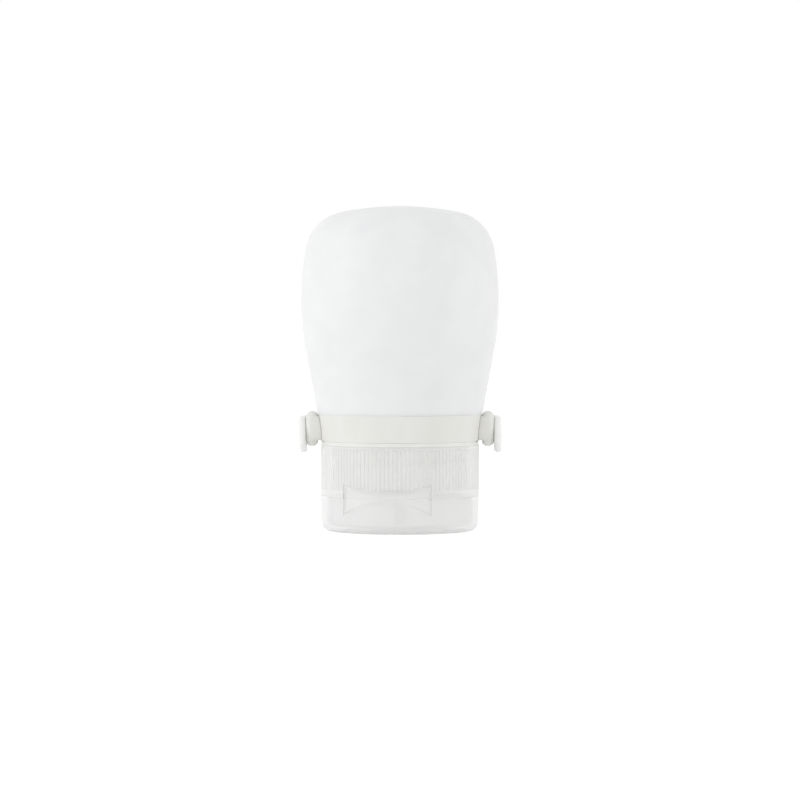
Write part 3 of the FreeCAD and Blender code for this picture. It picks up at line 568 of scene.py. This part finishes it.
def seen_directly(tree):
    """1 for rays from the camera, from a mirror or through glass."""
    path = add(tree, "ShaderNodeLightPath")
    first = add(tree, "ShaderNodeMath")
    second = add(tree, "ShaderNodeMath")
    first.operation = second.operation = "MAXIMUM"
    link(tree, path.outputs["Is Camera Ray"], first.inputs[0])
    link(tree, path.outputs["Is Glossy Ray"], first.inputs[1])
    link(tree, first.outputs[0], second.inputs[0])
    link(tree, path.outputs["Is Transmission Ray"], second.inputs[1])
    return second.outputs[0]


def shown(tree, lighting, seen, output):
    """Use one shader where it is seen directly and the other for the light it gives."""
    choice = add(tree, "ShaderNodeMixShader")
    link(tree, seen_directly(tree), choice.inputs["Fac"])
    link(tree, lighting.outputs[0], choice.inputs[1])
    link(tree, seen.outputs[0], choice.inputs[2])
    link(tree, choice.outputs[0], add(tree, output).inputs["Surface"])


floor_mesh = built(
    "floor", [(x * FLOOR_HALF, y * FLOOR_HALF, FLOOR_LOW) for x, y in FLOOR_CORNERS],
    [(0, 1, 2, 3)])
floor = placed("floor", floor_mesh)
floor_paint = bpy.data.materials.new("floor_paint")
floor_mesh.materials.append(floor_paint)
tree = emptied(floor_paint)
plain = add(tree, "ShaderNodeBsdfDiffuse", Color=grey(FLOOR_GREY))
shadowed = add(tree, "ShaderNodeBsdfDiffuse", Color=grey(FLOOR_SEEN_GREY))
glow = add(tree, "ShaderNodeEmission", Strength=FLOOR_SEEN_GLOW)
both = add(tree, "ShaderNodeAddShader")
link(tree, shadowed.outputs[0], both.inputs[0])
link(tree, glow.outputs[0], both.inputs[1])
shown(tree, plain, both, "ShaderNodeOutputMaterial")

scene.world = bpy.data.worlds.new("studio")
tree = emptied(scene.world)
direction = add(tree, "ShaderNodeTexCoord")
slope = add(tree, "ShaderNodeVectorMath")
slope.operation = "DOT_PRODUCT"
slope.inputs[1].default_value = AMBIENT_SLOPE
level = add(tree, "ShaderNodeMath")
level.operation = "ADD"
level.inputs[1].default_value = AMBIENT
ambient = add(tree, "ShaderNodeBackground", Color=grey(1))
link(tree, direction.outputs["Generated"], slope.inputs[0])
link(tree, slope.outputs["Value"], level.inputs[0])
link(tree, level.outputs[0], ambient.inputs["Strength"])
white = add(tree, "ShaderNodeBackground", Color=grey(1), Strength=1.0)
shown(tree, ambient, white, "ShaderNodeOutputWorld")

# Lamps
LAMP_AIM = (0, 0, 0.035)
LAMP_WIDTH, LAMP_HEIGHT = 0.2, 0.34


def facing(place, aim):
    return (Vector(aim) - Vector(place)).to_track_quat("-Z", "Y").to_euler()


def softbox(name, place, watts):
    """An upright area lamp, aimed at the bottle."""
    lamp = bpy.data.lights.new(name, "AREA")
    lamp.shape = "RECTANGLE"
    lamp.size, lamp.size_y = LAMP_WIDTH, LAMP_HEIGHT
    lamp.energy = watts
    item = placed(name, lamp)
    item.location = place
    item.rotation_euler = facing(place, LAMP_AIM)


softbox("left_box", (-0.71, -0.32, 0.17), 1.1)
softbox("right_box", (0.74, -0.25, 0.17), 0.64)

# Camera
VIEW_DISTANCE = 0.7
VIEW_HEIGHT = 44 * MM
VIEW_AIM = 26.1 * MM
VIEW_WIDTH = 0.16                           # what the frame spans at the bottle's axis
SENSOR = 36
lens = bpy.data.cameras.new("view")
lens.sensor_width = SENSOR
lens.lens = SENSOR * VIEW_DISTANCE / VIEW_WIDTH
camera = placed("view", lens)
camera.location = (0, -VIEW_DISTANCE, VIEW_HEIGHT)
camera.rotation_euler = facing(camera.location, (0, 0, VIEW_AIM))
scene.camera = camera
scene.view_settings.view_transform = "Standard"
scene.cycles.max_bounces = 16
scene.cycles.diffuse_bounces = 12
scene.cycles.transparent_max_bounces = 32
